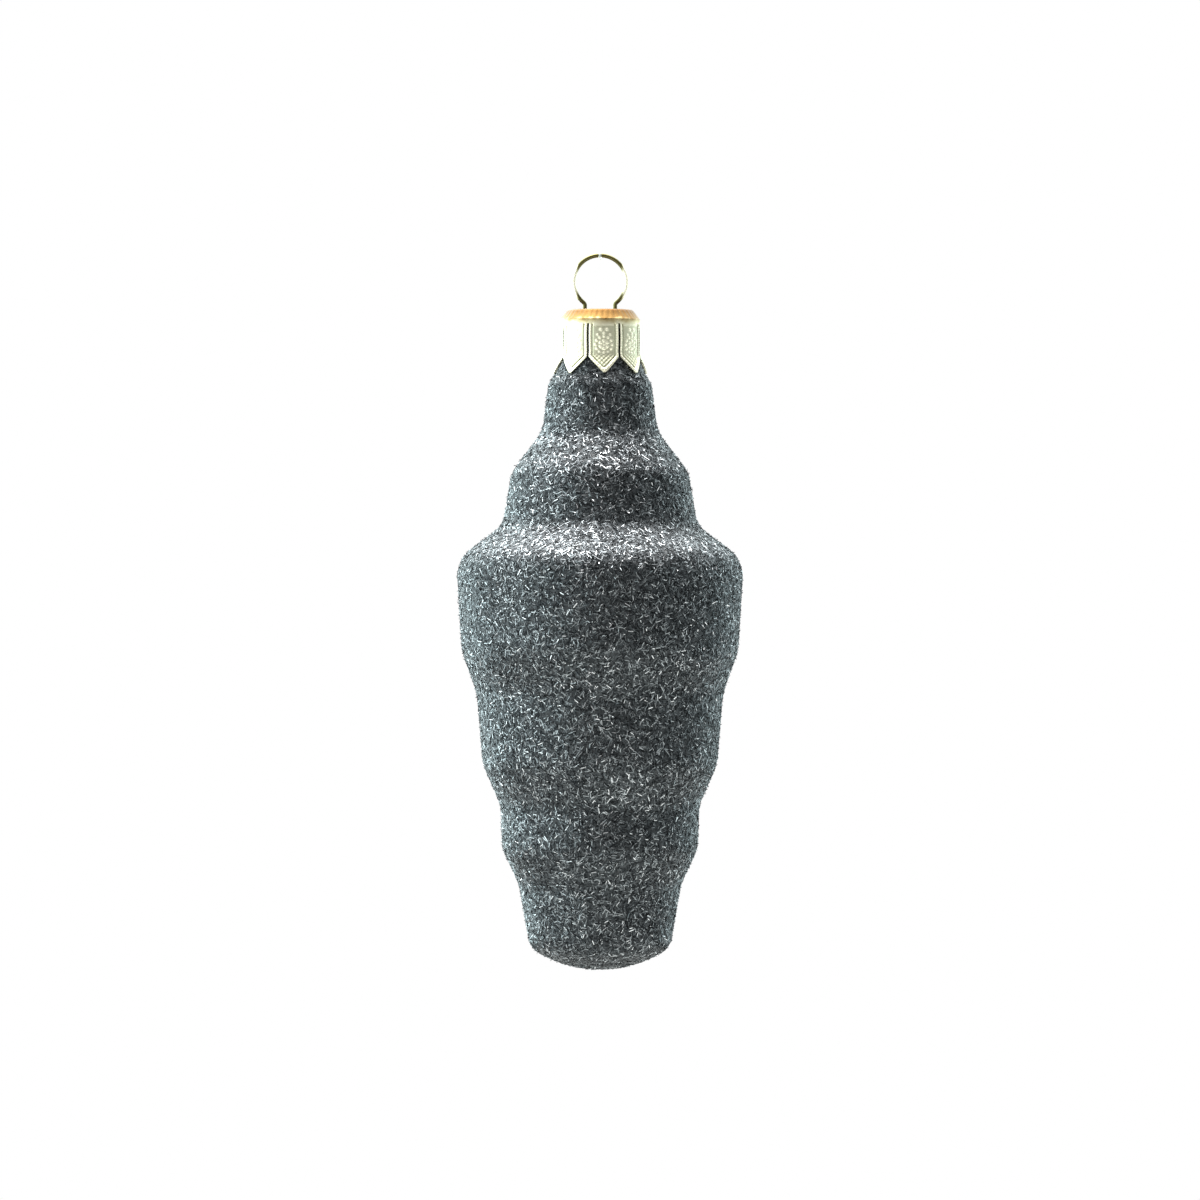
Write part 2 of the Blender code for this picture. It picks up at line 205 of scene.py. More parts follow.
def softbox(name, place, size, watts):
    """A square soft light that faces the middle of the ornament."""
    light = bpy.data.lights.new(name, "AREA")
    light.size = size
    light.energy = watts
    lamp = bpy.data.objects.new(name, light)
    middle = Vector((0, 0, EYE_LEVEL))
    lamp.location = place
    lamp.rotation_euler = (middle - Vector(place)).to_track_quat("-Z", "Y").to_euler()
    bpy.context.collection.objects.link(lamp)


softbox("overhead_softbox", place=(-0.10, 0.12, 0.75), size=0.55, watts=3.0)
softbox("left_softbox", place=(-0.90, -0.15, 0.10), size=0.50, watts=1.8)

# ---------------------------------------------------------------------------------------------
# Hanging thread: clear nylon monofilament, 0.4 mm thick, doubled through the hanger's ring. Its
# two ends are tied in an overhand knot just above the view, and the eye beyond it goes on a hook.
# ---------------------------------------------------------------------------------------------
THREAD_D = 0.4 * MM
THREAD_SIDES = 4                 # bevel resolution
GRAIN_DEPTH = 0.02 * MM          # of the fine grain in a drawn or pressed surface
KNOT_CENTRE_Z = -7.15 * MM
KNOT_UNIT = 0.29 * MM            # the knot's curve is six of these across
KNOT_POINTS = 72
ROUTE_SAMPLES = 24               # between two stops of a route

# Down from the knot in front of the ring, under its wire and back up behind it
THREAD_ROUTE = [
    (0, -0.00030, -0.0084), (0, -0.00038, -0.0140), (0, -0.00046, -0.0200), (0, -0.00055, -0.0260),
    (0, -0.00063, -0.0320), (0, -0.00071, -0.0380), (0, -0.00078, -0.0430), (0, -0.00080, -0.0447),
    (0, -0.00057, -0.0453), (0, 0.00000, -0.0455), (0, 0.00057, -0.0453),
    (0, 0.00080, -0.0447), (0, 0.00078, -0.0430), (0, 0.00071, -0.0380), (0, 0.00063, -0.0320),
    (0, 0.00055, -0.0260), (0, 0.00046, -0.0200), (0, 0.00038, -0.0140), (0, 0.00030, -0.0084),
]
EYE_ROUTE = [
    (-0.00018, 0, -0.0066), (-0.00035, 0, -0.0059), (-0.00070, 0, -0.0048),
    (-0.00125, 0, -0.0034), (-0.00160, 0, -0.0020), (-0.00150, 0, -0.0008),
    (-0.00085, 0, -0.00005), (0, 0, 0.0002), (0.00085, 0, -0.00005), (0.00150, 0, -0.0008),
    (0.00160, 0, -0.0020), (0.00125, 0, -0.0034), (0.00070, 0, -0.0048), (0.00035, 0, -0.0059),
    (0.00018, 0, -0.0066),
]


def eased(stops, samples):
    """Points on a smooth curve through the stops, whose spans may differ in length."""
    stops = np.asarray(stops, float)
    spans = np.linalg.norm(np.diff(stops, axis=0), axis=1)[:, None]
    slopes = np.diff(stops, axis=0) / spans
    inner = (slopes[:-1] * spans[1:] + slopes[1:] * spans[:-1]) / (spans[:-1] + spans[1:])
    leaning = np.vstack([slopes[:1], inner, slopes[-1:]])
    t = (np.arange(samples) / samples)[:, None]
    rows = []
    for index, span in enumerate(spans):
        rows.append(stops[index] * (2 * t**3 - 3 * t**2 + 1)
                    + leaning[index] * span * (t**3 - 2 * t**2 + t)
                    + stops[index + 1] * (3 * t**2 - 2 * t**3)
                    + leaning[index + 1] * span * (t**3 - t**2))
    return np.vstack([*rows, stops[-1:]])


def evenly(points, spacing):
    """The same line with its points evenly spaced."""
    run = np.concatenate([[0], np.cumsum(np.linalg.norm(np.diff(points, axis=0), axis=1))])
    count = max(2, round(run[-1] / spacing)) + 1
    marks = np.linspace(0, run[-1], count)
    return np.stack([np.interp(marks, run, points[:, axis]) for axis in range(points.shape[1])], 1)


def strand(name, points, closed=False):
    """A round line of thread along the points."""
    curve = bpy.data.curves.new(name, "CURVE")
    curve.dimensions = "3D"
    curve.bevel_depth = THREAD_D / 2
    curve.bevel_resolution = THREAD_SIDES
    curve.use_fill_caps = True
    spline = curve.splines.new("POLY")
    spline.points.add(len(points) - 1)
    spline.points.foreach_set("co", np.insert(points, 3, 1.0, axis=1).ravel())
    spline.use_cyclic_u = closed
    curve.materials.append(nylon)
    piece = bpy.data.objects.new(name, curve)
    bpy.context.collection.objects.link(piece)
    return piece


# Clear nylon: drawn through a die, so it is glossy and bends light like a thin rod of glass, and
# carries faint lengthwise cloudiness, in streaks 0.1 mm wide and over 1 mm long
nylon, tree, shader = material("clear_nylon_monofilament")
shader.inputs["Base Color"].default_value = linear("#f7f8f4")
shader.inputs["Roughness"].default_value = 0.12
shader.inputs["IOR"].default_value = 1.53
shader.inputs["Transmission Weight"].default_value = 0.7
place = node(tree, "ShaderNodeTexCoord").outputs["Object"]
drawn = node(tree, "ShaderNodeMapping", {"Vector": place, "Scale": (9000, 9000, 700)})
cloud = node(tree, "ShaderNodeTexNoise", {"Vector": drawn.outputs[0], "Scale": 1.0,
                                          "Detail": 2.0})
ripple = node(tree, "ShaderNodeBump", {"Strength": 0.12, "Distance": GRAIN_DEPTH,
                                       "Height": cloud.outputs[0]})
tree.links.new(ripple.outputs[0], shader.inputs["Normal"])

route = evenly(eased(THREAD_ROUTE, ROUTE_SAMPLES), THREAD_D)
thread = strand("thread", route)
eye = strand("thread_eye", evenly(eased(EYE_ROUTE, ROUTE_SAMPLES), THREAD_D / 2))

way = np.linspace(0, math.tau, KNOT_POINTS, endpoint=False)
knot_line = KNOT_UNIT * np.stack([np.sin(way) + 2 * np.sin(2 * way), -np.sin(3 * way),
                                  np.cos(way) - 2 * np.cos(2 * way)], 1)
knot = strand("overhand_knot", knot_line + np.array([0, 0, KNOT_CENTRE_Z]), closed=True)

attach(thread, "thread")
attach(knot, "thread")
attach(eye, "eye")
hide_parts("hanging_thread")
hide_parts("thread_knot")
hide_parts("hanging_eye")

# ---------------------------------------------------------------------------------------------
# Wire hanger: one length of 0.6 mm brass-coloured spring wire. It is bent into a ring, turned
# down at its two feet, and its legs go through the cap and press on the inside of the neck.
# ---------------------------------------------------------------------------------------------
WIRE_D = 0.6 * MM
WIRE_SIDES = 20
RING_R = 3.73 * MM
RING_RISE = 3.96 * MM
LEG_X = 2.13 * MM
LEG_BEND_R = 0.6 * MM
LEG_STRAIGHT = 8.5 * MM          # below the cap's top
LEG_TIP_X = 3.05 * MM
LEG_SPLAY = 11.5 * MM
LEG_END_BLEND = 0.15 * MM
LEG_END_SHARE = 0.6              # of the wire's thickness is left at its rounded end
SIDE_GLARE_FROM = 2.9 * MM           # to either side of the ring's middle, the wire is painted pale as a painted reflection of the side walls
SIDE_GLARE_TO = 3.6 * MM
MERGE = 0.002 * MM               # points closer than this are one
RING_STEPS = 56
BEND_STEPS = 10
CREASE = math.radians(50)        # edges that are sharper than this stay sharp

wire_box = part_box("wire_hanger")
wire_top_z = wire_box[1].z - WIRE_D / 2
ring_centre = Vector((0, 0, wire_top_z - RING_R))
cap_top_z = ring_centre.z - RING_RISE
reach_x = LEG_X + LEG_BEND_R
reach_z = -math.sqrt((RING_R + LEG_BEND_R) ** 2 - reach_x ** 2)
foot_angle = math.atan2(reach_z, reach_x)
bend_centre = ring_centre + Vector((reach_x, 0, reach_z))


def finish(piece, kind, **settings):
    """Put a modifier on the piece and apply it."""
    made = piece.modifiers.new(kind.lower(), kind)
    for key, value in settings.items():
        setattr(made, key, value)
    bpy.ops.object.modifier_apply(modifier=made.name)


# Drawn brass-plated wire: bright and hard, gone olive in patches of about 2.4 mm. At the sides of
# the ring it is painted pale and made matt, a painted reflection of the bright side walls. Its
# grain is drawn at 0.2 mm, coarser than the real one, so that it shows.
brass, tree, shader = material("drawn_brass_wire")
place = node(tree, "ShaderNodeTexCoord").outputs["Object"]
stain = node(tree, "ShaderNodeTexNoise", {"Vector": place, "Scale": 420.0, "Detail": 3.0})
across = node(tree, "ShaderNodeSeparateXYZ", {0: place}).outputs["X"]
aside = node(tree, "ShaderNodeMath", {0: across}, operation="ABSOLUTE")
# Painted reflection: at the ring's sides the wire's colour is painted pale, on top of the random
# olive patches
side_glare = node(tree, "ShaderNodeMapRange", {0: aside.outputs[0], 1: SIDE_GLARE_FROM,
                                           2: SIDE_GLARE_TO}, interpolation_type="SMOOTHSTEP")
mottle_and_painted_highlight = node(tree, "ShaderNodeMath", {0: stain.outputs["Fac"], 1: 0.35, 2: side_glare.outputs[0]},
            operation="MULTIPLY_ADD")
tone = ramp(tree, mottle_and_painted_highlight.outputs[0], [(0.10, "#57522f"), (0.28, "#6f6a44"), (0.60, "#c4be98"),
                                    (1.0, "#fffbe6")])
tree.links.new(tone, shader.inputs["Base Color"])
shader.inputs["Metallic"].default_value = 1.0
matted = node(tree, "ShaderNodeMapRange", {0: side_glare.outputs[0], 3: 0.24, 4: 0.60})
tree.links.new(matted.outputs[0], shader.inputs["Roughness"])
grain = node(tree, "ShaderNodeTexNoise", {"Vector": place, "Scale": 5200.0, "Detail": 2.0})
scratch = node(tree, "ShaderNodeBump", {"Strength": 0.10, "Distance": GRAIN_DEPTH,
                                        "Height": grain.outputs[0]})
tree.links.new(scratch.outputs[0], shader.inputs["Normal"])

start_piece()
bpy.ops.mesh.primitive_circle_add(vertices=WIRE_SIDES, radius=WIRE_D / 2,
                                  location=(0, 0, wire_top_z), rotation=(0, math.radians(90), 0))
bpy.ops.object.transform_apply(location=True, rotation=True)
bpy.ops.object.mode_set(mode="EDIT")
bpy.ops.mesh.spin(steps=RING_STEPS, angle=math.radians(90) - foot_angle, center=ring_centre,
                  axis=(0, -1, 0))
bpy.ops.mesh.spin(steps=BEND_STEPS, angle=-foot_angle, center=bend_centre, axis=(0, 1, 0))
leg_top_z = bend_centre.z
leg_moves = [(0, cap_top_z - LEG_STRAIGHT - leg_top_z), (LEG_TIP_X - LEG_X, -LEG_SPLAY),
             (0, -LEG_END_BLEND)]
for sideways, down in leg_moves:
    bpy.ops.mesh.extrude_region_move(TRANSFORM_OT_translate={"value": (sideways, 0, down)})
bpy.ops.transform.resize(value=(LEG_END_SHARE, LEG_END_SHARE, 1))
bpy.ops.mesh.edge_face_add()
end_piece("wire_ring_and_legs", brass)
wire = bpy.context.object
finish(wire, "MIRROR", use_mirror_merge=True, merge_threshold=MERGE)
bpy.ops.object.mode_set(mode="EDIT")
bpy.ops.mesh.select_all(action="SELECT")
bpy.ops.mesh.remove_doubles(threshold=MERGE)
bpy.ops.mesh.normals_make_consistent(inside=False)
bpy.ops.object.mode_set(mode="OBJECT")
bpy.ops.object.shade_smooth_by_angle(angle=CREASE)
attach(wire, "hanger")
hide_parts("wire_hanger")

# ---------------------------------------------------------------------------------------------
# Crown cap: one disc of thin gilt aluminium, pressed into a flat top, a fluted shoulder and eight
# pointed petals with an embossed border and rosette. Narrow slots between the petals let them
# spring over the neck.
# ---------------------------------------------------------------------------------------------
CAP_SHEET = 0.2 * MM
CAP_TOP_R = 4.60 * MM
SKIRT_R = 5.65 * MM
SHOULDER_H = 1.4 * MM
CAP_TURN = math.radians(5.5)
PETALS = 8
FLUTES = 40
FLUTE_DEPTH = 0.07 * MM
FLUTE_FADE = 0.6                 # how squarely the flutes start and end
TOP_EDGE_IN = 0.12 * MM          # rounds the edge of the flat top
TOP_EDGE_FALL = 0.08 * MM
PAINTED_PALE_FADE = 3 * MM               # the cap is painted paler within this depth, a painted highlight on the petals
SLOT_W = 0.3 * MM
SLOT_TOP = 2.1 * MM
PETAL_SIDE_END = 6.8 * MM
PETAL_TIP_END = 9.0 * MM
PETAL_FIT = 0.23 * MM            # outside of a petal to the coat's surface
BLUNT = 0.07                     # share of a tip that is cut square
HOLE_R = 0.6 * MM
HOLE_SIDES = 32
PETAL_COLUMNS = 44               # the last of each petal's is its slot
SHOULDER_ROWS = 14
BAND_ROWS = 4
PETAL_ROWS = 70
PETAL_SPRING = 0.05 * MM         # how far a petal's tip may stand off
PETAL_BELLY = 0.18 * MM          # how far a petal swells between its root and its tip
RANDOM = np.random.default_rng(7)

# The pattern pressed into each petal, in mm: a beaded border with a groove inside it, and a sunk
# panel with a rosette of six leaves in a ring of beads, dots above it and lozenge lace below it.
# Depths run down from the cap's top.
BORDER_FROM = 0.06               # in from the petal's edge
BORDER_TO = 0.30
BORDER_H = 0.05
BORDER_PITCH = 0.34
GROOVE_IN = 0.44
GROOVE_W = 0.08
GROOVE_DEPTH = 0.16
PANEL_IN = 0.48
PANEL_FROM = 2.3
PANEL_DEPTH = 0.05
ROSETTE_AT = 5.1
LEAF_FROM = 0.24                 # out from the rosette's middle
LEAF_TO = 0.78
LEAF_H = 0.10
HEART_W = 0.15                   # the rosette's round middle
BEADS = 12
BEADS_AT = 1.14
BEAD_W = 0.17
BEAD_H = 0.11
DOTS = ((-0.42, 3.0, 0.20), (0.42, 3.0, 0.20), (0, 3.5, 0.18), (-0.85, 3.7, 0.14),
        (0.85, 3.7, 0.14))       # across, down and half-width
LACE_FROM = 6.45
LACE_PITCH = 0.62
LACE_H = 0.06

# Corners of the coated body's outline: radius, height above the foot and fillet
BODY_CORNERS = MM * np.array([
    (0.00, 0.00, 0), (4.24, 0.00, 17), (9.88, 3.00, 3), (11.45, 12.10, 8), (13.80, 17.00, 6),
    (14.00, 23.20, 6), (16.52, 28.90, 8), (17.39, 39.20, 12), (19.50, 44.90, 10),
    (20.30, 57.85, 5), (13.75, 62.70, 4), (12.47, 70.30, 5), (8.11, 76.00, 6), (7.30, 82.60, 2),
    (6.40, 84.20, 2), (5.05, 88.20, 3), (5.05, 90.40, 0),
])
ARC_STEP = math.radians(3)
foot_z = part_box("glitter_coat")[0].z


def rounded(corners):
    """Points of (radius, level) up an outline whose corners are turned by their fillets."""
    stops = corners[:, :2] + (0, foot_z)
    walls = np.diff(stops, axis=0)
    lengths = np.linalg.norm(walls, axis=1)
    along = walls / lengths[:, None]
    crossed = along[:-1, 0] * along[1:, 1] - along[:-1, 1] * along[1:, 0]
    turns = np.arctan2(crossed, (along[:-1] * along[1:]).sum(axis=1))
    bends = np.tan(np.abs(turns) / 2)
    reaches = np.concatenate([[0], corners[1:-1, 2] * bends, [0]])
    for index, wall in enumerate(lengths):
        wanted = reaches[index] + reaches[index + 1]
        if wanted > wall:
            reaches[index:index + 2] *= wall / wanted
    points = [stops[0]]
    for index, turn in enumerate(turns):
        start = stops[index + 1] - along[index] * reaches[index + 1]
        radius = reaches[index + 1] / bends[index]
        inward = np.array([-along[index, 1], along[index, 0]]) * math.copysign(radius, turn)
        steps = max(1, math.ceil(abs(turn) / ARC_STEP))
        for share in np.arange(steps + 1) / steps:
            sine = math.sin(turn * share)
            cosine = math.cos(turn * share)
            out = -inward
            points.append(start + inward + (out[0] * cosine - out[1] * sine,
                                            out[0] * sine + out[1] * cosine))
    points.append(stops[-1])
    return np.array(points)


def bump_at(distance, width):
    """A round swelling of height 1 whose half-width is about the width."""
    return np.exp(-(distance / width) ** 2)


def climb(distance, width):
    """0 before the distance's zero, 1 from a width beyond it, and a straight slope between."""
    return np.clip(distance / width, 0, 1)


def petal_relief(across, depth):
    """Height in mm of the pressed pattern, at places across and down a petal in mm."""
    half = PETAL_HALF / MM
    fall = (PETAL_TIP_END - PETAL_SIDE_END) / MM
    slant = ((PETAL_TIP_END / MM - depth) * half - np.abs(across) * fall) / math.hypot(half, fall)
    edge = np.minimum(half - np.abs(across), slant)
    border = climb(edge - BORDER_FROM, 0.06) * climb(BORDER_TO - edge, 0.06)
    beading = BORDER_H * border * (1 + np.cos(math.tau * depth / BORDER_PITCH))
    groove = GROOVE_DEPTH * bump_at(edge - GROOVE_IN, GROOVE_W)
    panel = climb(edge - PANEL_IN, 0.08) * climb(depth - PANEL_FROM, 0.2)
    out = np.hypot(across, depth - ROSETTE_AT)
    leaves = (climb(out - LEAF_FROM, 0.1) * climb(LEAF_TO - out, 0.12)
              * np.abs(np.cos(3 * np.arctan2(across, depth - ROSETTE_AT))))
    motif = LEAF_H * leaves + LEAF_H * bump_at(out, HEART_W)
    for turn in np.arange(BEADS) * math.tau / BEADS:
        bead = np.hypot(across - BEADS_AT * math.sin(turn),
                        depth - ROSETTE_AT - BEADS_AT * math.cos(turn))
        motif = motif + BEAD_H * bump_at(bead, BEAD_W)
    for x, y, width in DOTS:
        motif = motif + BEAD_H * bump_at(np.hypot(across - x, depth - y), width)
    lace = (climb(depth - LACE_FROM, 0.15) * np.cos(math.tau * across / LACE_PITCH)
            * np.cos(math.tau * depth / LACE_PITCH))
    return beading - groove + panel * (motif + LACE_H * lace - PANEL_DEPTH)


def select_only(piece, kind, chosen):
    """Enter edit mode with only the chosen edges or faces of the piece selected."""
    bpy.context.tool_settings.mesh_select_mode = (False, kind == "EDGE", kind == "FACE")
    lists = {"VERT": piece.data.vertices, "EDGE": piece.data.edges, "FACE": piece.data.polygons}
    for name, elements in lists.items():
        marks = chosen if name == kind else np.zeros(len(elements), bool)
        elements.foreach_set("select", marks)
    bpy.ops.object.mode_set(mode="EDIT")


body_outline = rounded(BODY_CORNERS)
PETAL_HALF = math.pi * SKIRT_R / PETALS - SLOT_W / 2
columns = PETALS * PETAL_COLUMNS
rows = SHOULDER_ROWS + BAND_ROWS + PETAL_ROWS

# Gilt aluminium: lacquered orange gold on the shoulder, painted paler down to champagne on the
# petals as a painted highlight, paler still on the raised relief and grey-olive in the pressed
# hollows and grooves as painted shade. The paling is mottled in patches of about 1.1 mm. Its satin
# grain is drawn at 0.25 mm, coarser than the real one, so that it shows.
gilt, tree, shader = material("embossed_gilt_aluminium")
place = node(tree, "ShaderNodeTexCoord").outputs["Object"]
level = node(tree, "ShaderNodeSeparateXYZ", {0: place}).outputs["Z"]
# Painted highlight: the colour turns paler with depth below the cap's top, down the petals; the
# mottle is random tone
down = node(tree, "ShaderNodeMapRange", {0: level, 1: cap_top_z, 2: cap_top_z - PAINTED_PALE_FADE})
mottle = node(tree, "ShaderNodeTexNoise", {"Vector": place, "Scale": 900.0, "Detail": 3.0})
shift = node(tree, "ShaderNodeMapRange", {0: mottle.outputs["Fac"], 1: 0.3, 2: 0.7,
                                          3: -0.08, 4: 0.08})
mottle_and_painted_highlight = node(tree, "ShaderNodeMath", {0: down.outputs[0], 1: shift.outputs[0]}, operation="ADD")
high = ramp(tree, mottle_and_painted_highlight.outputs[0], [(0.0, "#6c4d29"), (0.40, "#7c5b32"), (0.54, "#c6b588"),
                                    (0.80, "#fbf6dc")])
low = ramp(tree, mottle_and_painted_highlight.outputs[0], [(0.0, "#63431f"), (0.42, "#96804e"), (0.65, "#c6c09a"),
                                   (1.0, "#bebea2")])
# Painted highlight and shade: the raised relief takes the paler colour, the hollows the darker
# one, and the deep grooves a dark grey-olive
pressed = node(tree, "ShaderNodeAttribute", attribute_name="relief").outputs["Fac"]
painted_relief_light = node(tree, "ShaderNodeMapRange", {0: pressed, 1: -0.07, 2: 0.02})
sheen = node(tree, "ShaderNodeMix", {0: painted_relief_light.outputs[0], 6: low, 7: high}, data_type="RGBA")
painted_groove_shade = node(tree, "ShaderNodeMapRange", {0: pressed, 1: -0.16, 2: -0.10})
tone = node(tree, "ShaderNodeMix", {0: painted_groove_shade.outputs[0], 6: linear("#5f5b3a"),
                                    7: sheen.outputs[2]}, data_type="RGBA")
tree.links.new(tone.outputs[2], shader.inputs["Base Color"])
shader.inputs["Metallic"].default_value = 1.0
shader.inputs["Roughness"].default_value = 0.42
grain = node(tree, "ShaderNodeTexNoise", {"Vector": place, "Scale": 4000.0, "Detail": 2.0})
scuff = node(tree, "ShaderNodeBump", {"Strength": 0.15, "Distance": GRAIN_DEPTH,
                                      "Height": grain.outputs["Fac"]})
tree.links.new(scuff.outputs[0], shader.inputs["Normal"])

start_piece()
bpy.ops.mesh.primitive_grid_add(x_subdivisions=columns, y_subdivisions=rows, size=1)
cap = bpy.context.object
flat = np.empty(len(cap.data.vertices) * 3)
cap.data.vertices.foreach_get("co", flat)
flat = flat.reshape(-1, 3)
column = np.rint((flat[:, 0] + 0.5) * columns).astype(int)
row = np.rint((0.5 - flat[:, 1]) * rows).astype(int)
petal = column // PETAL_COLUMNS
spread = 2 * (column % PETAL_COLUMNS) / (PETAL_COLUMNS - 1) - 1
angle = petal * math.tau / PETALS + spread * PETAL_HALF / SKIRT_R
tip = np.minimum(1, (1 - np.abs(spread)) / (1 - BLUNT))
petal_end = PETAL_SIDE_END + (PETAL_TIP_END - PETAL_SIDE_END) * tip
to_shoulder = np.clip(row / SHOULDER_ROWS, 0, 1)
to_slot = np.clip((row - SHOULDER_ROWS) / BAND_ROWS, 0, 1)
to_end = np.clip((row - SHOULDER_ROWS - BAND_ROWS) / PETAL_ROWS, 0, 1)
depth = (to_shoulder * SHOULDER_H + to_slot * (SLOT_TOP - SHOULDER_H)
         + to_end * (petal_end - SLOT_TOP))
body_r = np.interp(cap_top_z - depth, body_outline[:, 1], body_outline[:, 0])
radius = np.maximum(SKIRT_R, body_r + PETAL_FIT)
radius = np.where(row < SHOULDER_ROWS, CAP_TOP_R + (SKIRT_R - CAP_TOP_R) * to_shoulder, radius)
radius = radius - TOP_EDGE_IN * np.exp(-depth / TOP_EDGE_FALL)
radius = radius - FLUTE_DEPTH * np.sin(math.pi * to_shoulder) ** FLUTE_FADE * (
    1 - np.abs(np.sin(FLUTES / 2 * angle)))
spring = PETAL_SPRING * RANDOM.random(PETALS + 1)
belly = np.clip((depth - SHOULDER_H) / (PETAL_SIDE_END - SHOULDER_H), 0, 1)
relief = petal_relief(spread * PETAL_HALF / MM, depth / MM) * (to_end > 0)
radius = radius + spring[petal] * to_end ** 2 + relief * MM + PETAL_BELLY * np.sin(math.pi * belly)
bearing = angle + CAP_TURN
rolled = np.stack([radius * np.sin(bearing), -radius * np.cos(bearing), cap_top_z - depth], 1)
cap.data.vertices.foreach_set("co", rolled.ravel())
stamped = cap.data.attributes.new("relief", "FLOAT", "POINT")
stamped.data.foreach_set("value", relief)
cap.data.update()
# The sheet is cut away at the slots and closed into a drum
corners = np.array([list(face.vertices) for face in cap.data.polygons])
crosses = column[corners].min(axis=1) % PETAL_COLUMNS == PETAL_COLUMNS - 1
select_only(cap, "FACE", crosses & (row[corners].min(axis=1) >= SHOULDER_ROWS + BAND_ROWS))
bpy.ops.mesh.delete(type="FACE")
bpy.ops.mesh.select_all(action="SELECT")
bpy.ops.mesh.remove_doubles(threshold=MERGE)
for side in (-1, 1):
    bpy.ops.mesh.primitive_circle_add(vertices=HOLE_SIDES, radius=HOLE_R,
                                      location=(side * LEG_X, 0, cap_top_z))
bpy.ops.object.mode_set(mode="OBJECT")
# The flat top fills the space between the drum's rim and the two holes
levels = np.array([vertex.co.z for vertex in cap.data.vertices])
ends = np.array([list(edge.vertices) for edge in cap.data.edges])
select_only(cap, "EDGE", (np.abs(levels[ends] - cap_top_z) < MERGE).all(axis=1))
bpy.ops.mesh.fill(use_beauty=True)
bpy.ops.mesh.select_all(action="SELECT")
bpy.ops.mesh.normals_make_consistent(inside=True)
cap = end_piece("crown_cap_stamped", gilt)
finish(cap, "SOLIDIFY", thickness=CAP_SHEET, offset=-1.0)
bpy.ops.object.shade_smooth_by_angle(angle=CREASE)
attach(cap, "cap")
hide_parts("crown_cap")

# ---------------------------------------------------------------------------------------------
# Glass body: clear glass tube, blown into a tiered mould and cut off at the neck, where the rim
# was melted round. It shows bare only inside the cap.
# ---------------------------------------------------------------------------------------------
GLASS_WALL = 0.85 * MM
GLASS_IN = 0.65 * MM             # coated outline to the bare glass
TURNED_SEGMENTS = 128
PROFILE_STEP = 0.8 * MM
LIP_POINTS = 9
WAVE_H = 0.2 * MM
rim_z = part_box("glass_body")[1].z


def moved_in(points, distance):
    """An outline moved inwards by a distance, with its start kept on the axis."""
    along = np.gradient(points, axis=0)
    outward = np.stack([along[:, 1], -along[:, 0]], 1) / np.linalg.norm(along, axis=1)[:, None]
    return points - outward * distance


def turned(profile, segments):
    """Start a piece by spinning an outline of (radius, level) points round the axis."""
    start_piece()
    bpy.ops.mesh.primitive_plane_add(size=MM)
    bpy.ops.object.mode_set(mode="EDIT")
    bpy.ops.mesh.merge(type="CENTER")
    bpy.ops.transform.translate(value=(profile[0][0], 0, profile[0][1]))
    for across, up in np.diff(profile, axis=0):
        bpy.ops.mesh.extrude_vertices_move(TRANSFORM_OT_translate={"value": (across, 0, up)})
    bpy.ops.mesh.select_all(action="SELECT")
    bpy.ops.mesh.spin(steps=segments, angle=math.tau, center=(0, 0, 0), axis=(0, 0, 1))
    bpy.ops.mesh.select_all(action="SELECT")
    bpy.ops.mesh.remove_doubles(threshold=MERGE)
    bpy.ops.mesh.normals_make_consistent(inside=False)


# Blown clear glass: smooth, with a slow waviness of about 11 mm and the faint grey-green of a
# thick edge
clear_glass, tree, shader = material("blown_clear_glass")
place = node(tree, "ShaderNodeTexCoord").outputs["Object"]
cords = node(tree, "ShaderNodeTexNoise", {"Vector": place, "Scale": 90.0, "Detail": 2.0})
tint = ramp(tree, cords.outputs["Fac"], [(0.3, "#eef4f0"), (0.7, "#f8faf8")])
tree.links.new(tint, shader.inputs["Base Color"])
shader.inputs["Roughness"].default_value = 0.03
shader.inputs["IOR"].default_value = 1.5
shader.inputs["Transmission Weight"].default_value = 1.0
wave = node(tree, "ShaderNodeBump", {"Strength": 0.2, "Distance": WAVE_H,
                                     "Height": cords.outputs["Fac"]})
tree.links.new(wave.outputs[0], shader.inputs["Normal"])

neck_corners = BODY_CORNERS.copy()
neck_corners[-1, 1] = rim_z - foot_z
glass_line = evenly(rounded(neck_corners), PROFILE_STEP)
lip_r = GLASS_WALL / 2
outer = moved_in(glass_line, GLASS_IN)
inner = moved_in(glass_line, GLASS_IN + GLASS_WALL)[::-1]
outer = outer[outer[:, 1] < rim_z - lip_r]
inner = inner[inner[:, 1] < rim_z - lip_r]
lip_turn = np.linspace(0, math.pi, LIP_POINTS)
lip = np.stack([outer[-1, 0] - lip_r + lip_r * np.cos(lip_turn),
                rim_z - lip_r + lip_r * np.sin(lip_turn)], 1)
turned(np.vstack([outer, lip, inner]), TURNED_SEGMENTS)
glass = end_piece("glass_tiered_body", clear_glass)
bpy.ops.object.shade_smooth()
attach(glass, "body")
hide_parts("glass_body")

